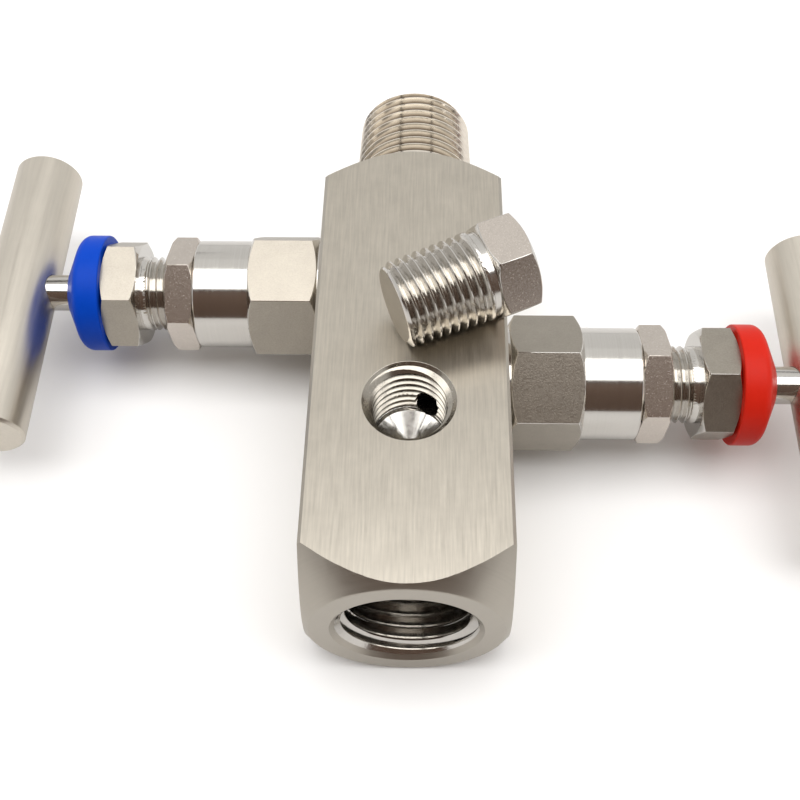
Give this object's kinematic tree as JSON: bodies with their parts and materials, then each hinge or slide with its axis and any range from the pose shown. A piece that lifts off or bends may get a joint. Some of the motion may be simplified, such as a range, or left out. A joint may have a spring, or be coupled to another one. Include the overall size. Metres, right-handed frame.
{
  "type": "instrument valve manifold",
  "caption": "Bar-stock instrument manifold: an isolate valve and a vent valve with T-bar handles on a square body, taper-threaded process end, female instrument port, vent port and loose plug.",
  "frame": {"origin": "in the bar's bottom face, on its centre line, halfway between the instrument face and the shoulder of the process end", "axes": "+Y from the female instrument port to the male process end, +Z out of the vent port, isolate valve towards -X and vent valve towards +X"},
  "size_m": [0.1484, 0.1035, 0.0449],
  "materials": {
    "block_steel": "stainless steel, long brushed grain, turned ends",
    "bonnet_steel": "stainless steel, grained hexagon and bright turned barrel",
    "nut_steel": "stainless steel, turned",
    "adjuster_steel": "stainless steel, grained hexagon and bright thread",
    "stem_steel": "stainless steel, polished",
    "handle_steel": "stainless steel, satin ground",
    "screw_steel": "dark alloy steel",
    "plug_steel": "stainless steel, bright thread and machined head",
    "seal_plastic": "fluoropolymer, off-white",
    "gasket_metal": "annealed stainless steel",
    "cap_blue": "moulded plastic, slightly glossy",
    "cap_red": "moulded plastic, slightly glossy"
  },
  "bodies": {
    "root": {"manifold_block": "block_steel", "vent_plug": "plug_steel", "isolate_bonnet": "bonnet_steel", "isolate_bonnet_gasket": "gasket_metal", "isolate_packing_washer": "gasket_metal", "isolate_packing_ring_1": "seal_plastic", "isolate_packing_ring_2": "seal_plastic", "isolate_packing_ring_3": "seal_plastic", "isolate_packing_ring_4": "seal_plastic", "isolate_gland_bush": "gasket_metal", "isolate_packing_adjuster": "adjuster_steel", "isolate_lock_nut": "nut_steel", "isolate_dust_cap": "cap_blue", "vent_bonnet": "bonnet_steel", "vent_bonnet_gasket": "gasket_metal", "vent_packing_washer": "gasket_metal", "vent_packing_ring_1": "seal_plastic", "vent_packing_ring_2": "seal_plastic", "vent_packing_ring_3": "seal_plastic", "vent_packing_ring_4": "seal_plastic", "vent_gland_bush": "gasket_metal", "vent_packing_adjuster": "adjuster_steel", "vent_lock_nut": "nut_steel", "vent_dust_cap": "cap_red"},
    "isolate_tip": {"isolate_tip": "stem_steel"},
    "isolate_stem": {"isolate_stem": "stem_steel", "isolate_handle": "handle_steel", "isolate_set_screw": "screw_steel"},
    "vent_tip": {"vent_tip": "stem_steel"},
    "vent_stem": {"vent_stem": "stem_steel", "vent_handle": "handle_steel", "vent_set_screw": "screw_steel"}
  },
  "joints": [
    {"name": "isolate_lift", "type": "slide", "parent": "root", "child": "isolate_tip", "axis": [-1, 0, 0], "range_m": [0, 0.0044]},
    {"name": "isolate_turn", "type": "hinge", "parent": "isolate_tip", "child": "isolate_stem", "pos_m": [-0.015, 0.0198, 0.015], "axis": [-1, 0, 0], "range_deg": [0, 1260]},
    {"name": "vent_lift", "type": "slide", "parent": "root", "child": "vent_tip", "axis": [1, 0, 0], "range_m": [0, 0.0044]},
    {"name": "vent_turn", "type": "hinge", "parent": "vent_tip", "child": "vent_stem", "pos_m": [0.015, 0.0014, 0.015], "axis": [1, 0, 0], "range_deg": [0, 1260]}
  ],
  "couplings": [
    {"joint": "isolate_lift", "follows": "isolate_turn", "m_per_rad": 0.00019894},
    {"joint": "vent_lift", "follows": "vent_turn", "m_per_rad": 0.00019894}
  ]
}
